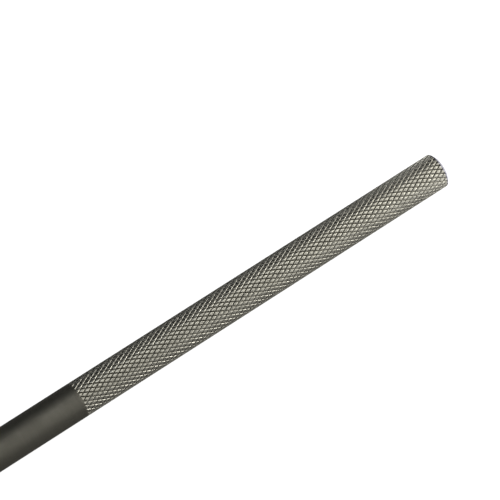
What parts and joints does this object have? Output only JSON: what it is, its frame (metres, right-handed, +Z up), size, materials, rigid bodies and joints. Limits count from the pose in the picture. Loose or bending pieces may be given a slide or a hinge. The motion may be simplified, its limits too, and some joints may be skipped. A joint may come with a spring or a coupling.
{
  "type": "scriber",
  "caption": "Engineer's scriber: slim knurled round handle with a collet chuck that grips a reversible carbide-tipped needle, and a slotted end plug.",
  "frame": {"origin": "centre of the bounding box in X and Y, on the plane the handle lies on", "axes": "+X along the tool's axis towards the rear end of the handle, so the point faces -X; +Z up; +Y completes the right-handed set"},
  "size_m": [0.16, 0.007, 0.007],
  "materials": {
    "blackened_steel": "satin, grey-brown",
    "ground_steel": "fine ground",
    "spring_steel": "satin",
    "carbide": "ground carbide",
    "black_rubber": "matt"
  },
  "bodies": {
    "handle": {"handle_tube": "blackened_steel", "chuck_body": "ground_steel", "chuck_lock_ring": "black_rubber", "collet_spring": "spring_steel"},
    "collet": {"collet": "spring_steel"},
    "nut": {"chuck_nut": "blackened_steel"},
    "needle": {"needle_shank": "ground_steel", "front_carbide_tip": "carbide", "rear_carbide_tip": "carbide"},
    "plug_seal": {"plug_seal_ring": "black_rubber"},
    "plug": {"end_plug": "blackened_steel"}
  },
  "joints": [
    {"name": "collet_travel", "type": "slide", "parent": "handle", "child": "collet", "axis": [-1, 0, 0], "range_m": [0, 0.006], "deforming": ["collet_spring"]},
    {"name": "nut_turn", "type": "hinge", "parent": "collet", "child": "nut", "pos_m": [-0.047, 0, 0.00349], "axis": [-1, 0, 0], "range_deg": [0, 4320]},
    {"name": "needle_slide", "type": "slide", "parent": "handle", "child": "needle", "axis": [-1, 0, 0], "range_m": [-0.024, 0.048]},
    {"name": "plug_travel", "type": "slide", "parent": "handle", "child": "plug_seal", "axis": [1, 0, 0], "range_m": [0, 0.007]},
    {"name": "plug_turn", "type": "hinge", "parent": "plug_seal", "child": "plug", "pos_m": [0.076, 0, 0.00349], "axis": [1, 0, 0], "range_deg": [0, 5040]}
  ],
  "couplings": [
    {"joint": "nut_turn", "follows": "collet_travel", "rad_per_m": 12566},
    {"joint": "plug_turn", "follows": "plug_travel", "rad_per_m": 12566}
  ]
}
